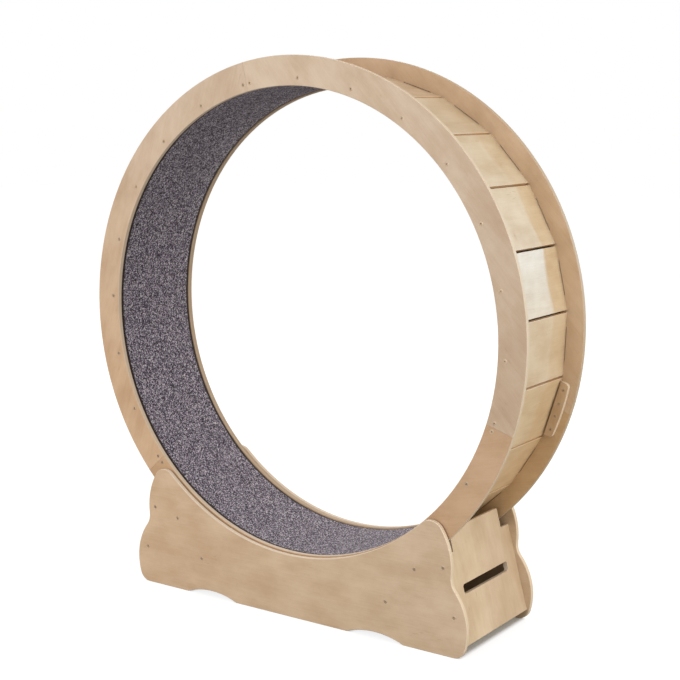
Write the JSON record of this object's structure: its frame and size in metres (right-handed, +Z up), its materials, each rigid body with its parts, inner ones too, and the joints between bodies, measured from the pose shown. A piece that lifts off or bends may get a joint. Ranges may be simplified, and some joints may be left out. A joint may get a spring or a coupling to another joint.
{
  "type": "cat exercise wheel",
  "caption": "Upright plywood running wheel for a cat: a carpet-lined drum between two flat rings, turning on hidden flanged rollers in a low plywood base with carrying slots.",
  "frame": {"origin": "on the floor, under the middle of the wheel and base", "axes": "+X along the base, +Y along the wheel's axis away from the front panel, +Z up"},
  "size_m": [1.01, 0.2556, 1.082],
  "materials": {
    "ring_plywood": "satin birch plywood",
    "slat_plywood": "satin birch plywood",
    "base_plywood": "satin birch plywood",
    "carpet": "heather grey loop pile",
    "zinc_steel": "zinc plated",
    "bearing_steel": "ground",
    "nylon": "moulded",
    "rubber": "matt"
  },
  "bodies": {
    "base": {"side_panel_front": "base_plywood", "side_panel_back": "base_plywood", "end_panel_right": "base_plywood", "end_panel_left": "base_plywood", "roller_board_right": "base_plywood", "roller_board_left": "base_plywood", "roller_axle_right": "zinc_steel", "roller_axle_left": "zinc_steel", "axle_saddles": "zinc_steel", "saddle_screws": "zinc_steel", "axle_washers": "zinc_steel", "retaining_clips": "zinc_steel", "panel_screws": "zinc_steel"},
    "wheel": {"ring_front_segment_1": "ring_plywood", "ring_front_segment_2": "ring_plywood", "ring_front_segment_3": "ring_plywood", "ring_back_segment_1": "ring_plywood", "ring_back_segment_2": "ring_plywood", "ring_back_segment_3": "ring_plywood", "slat_01": "slat_plywood", "slat_02": "slat_plywood", "slat_03": "slat_plywood", "slat_04": "slat_plywood", "slat_05": "slat_plywood", "slat_06": "slat_plywood", "slat_07": "slat_plywood", "slat_08": "slat_plywood", "slat_09": "slat_plywood", "slat_10": "slat_plywood", "slat_11": "slat_plywood", "slat_12": "slat_plywood", "slat_13": "slat_plywood", "slat_14": "slat_plywood", "slat_15": "slat_plywood", "slat_16": "slat_plywood", "slat_17": "slat_plywood", "slat_18": "slat_plywood", "slat_19": "slat_plywood", "slat_20": "slat_plywood", "slat_21": "slat_plywood", "slat_22": "slat_plywood", "slat_23": "slat_plywood", "slat_24": "slat_plywood", "splice_plates_front": "ring_plywood", "splice_plates_back": "ring_plywood", "ring_screws": "zinc_steel", "splice_screws": "zinc_steel", "carpet_lining": "carpet"},
    "roller_front_left": {"roller_hub_front_left": "nylon", "roller_tyre_front_left": "rubber", "roller_bearings_front_left": "bearing_steel"},
    "roller_front_right": {"roller_hub_front_right": "nylon", "roller_tyre_front_right": "rubber", "roller_bearings_front_right": "bearing_steel"},
    "roller_back_left": {"roller_hub_back_left": "nylon", "roller_tyre_back_left": "rubber", "roller_bearings_back_left": "bearing_steel"},
    "roller_back_right": {"roller_hub_back_right": "nylon", "roller_tyre_back_right": "rubber", "roller_bearings_back_right": "bearing_steel"}
  },
  "joints": [
    {"name": "wheel_spin", "type": "hinge", "parent": "base", "child": "wheel", "pos_m": [0, 0, 0.577], "axis": [0, 1, 0], "continuous": true},
    {"name": "roller_front_left_spin", "type": "hinge", "parent": "base", "child": "roller_front_left", "pos_m": [-0.26603, -0.11, 0.11249], "axis": [0, 1, 0], "continuous": true},
    {"name": "roller_front_right_spin", "type": "hinge", "parent": "base", "child": "roller_front_right", "pos_m": [0.26603, -0.11, 0.11249], "axis": [0, 1, 0], "continuous": true},
    {"name": "roller_back_left_spin", "type": "hinge", "parent": "base", "child": "roller_back_left", "pos_m": [-0.26603, 0.11, 0.11249], "axis": [0, 1, 0], "continuous": true},
    {"name": "roller_back_right_spin", "type": "hinge", "parent": "base", "child": "roller_back_right", "pos_m": [0.26603, 0.11, 0.11249], "axis": [0, 1, 0], "continuous": true}
  ],
  "couplings": [
    {"joint": "roller_front_left_spin", "follows": "wheel_spin", "ratio": -16.833},
    {"joint": "roller_front_right_spin", "follows": "wheel_spin", "ratio": -16.833},
    {"joint": "roller_back_left_spin", "follows": "wheel_spin", "ratio": -16.833},
    {"joint": "roller_back_right_spin", "follows": "wheel_spin", "ratio": -16.833}
  ]
}
